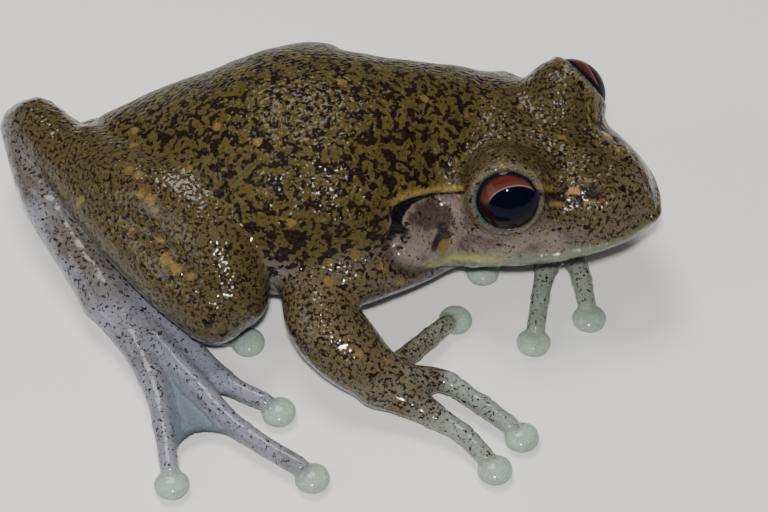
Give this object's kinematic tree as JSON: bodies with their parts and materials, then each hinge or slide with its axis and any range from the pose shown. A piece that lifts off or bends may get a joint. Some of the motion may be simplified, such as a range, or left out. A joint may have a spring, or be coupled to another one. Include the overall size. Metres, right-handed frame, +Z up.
{
  "type": "frog",
  "caption": "Life-size Goudot's bright-eyed frog crouching on its belly, head turned to its right, fingers and toes spread on the floor.",
  "frame": {"origin": "centre of the bounding box's base, on the floor", "axes": "+X forward along the body, +Y to the frog's left, +Z up"},
  "size_m": [0.092, 0.0786, 0.0275],
  "materials": {
    "torso": "moist skin",
    "head": "moist skin",
    "lower_jaw": "moist skin",
    "eye": "wet gloss",
    "thigh": "moist skin",
    "shank": "moist skin",
    "tarsus": "moist skin",
    "arm": "moist skin",
    "hand": "moist skin",
    "foot": "moist skin"
  },
  "bodies": {
    "root": {"torso": "torso", "head": "head", "lower_jaw": "lower_jaw", "right_eye": "eye", "left_eye": "eye", "right_thigh": "thigh", "right_shank": "shank", "right_tarsus": "tarsus", "right_upper_arm": "arm", "right_forearm": "arm", "right_hand": "hand", "right_foot": "foot", "left_thigh": "thigh", "left_shank": "shank", "left_tarsus": "tarsus", "left_upper_arm": "arm", "left_forearm": "arm", "left_hand": "hand", "left_foot": "foot"}
  },
  "joints": []
}
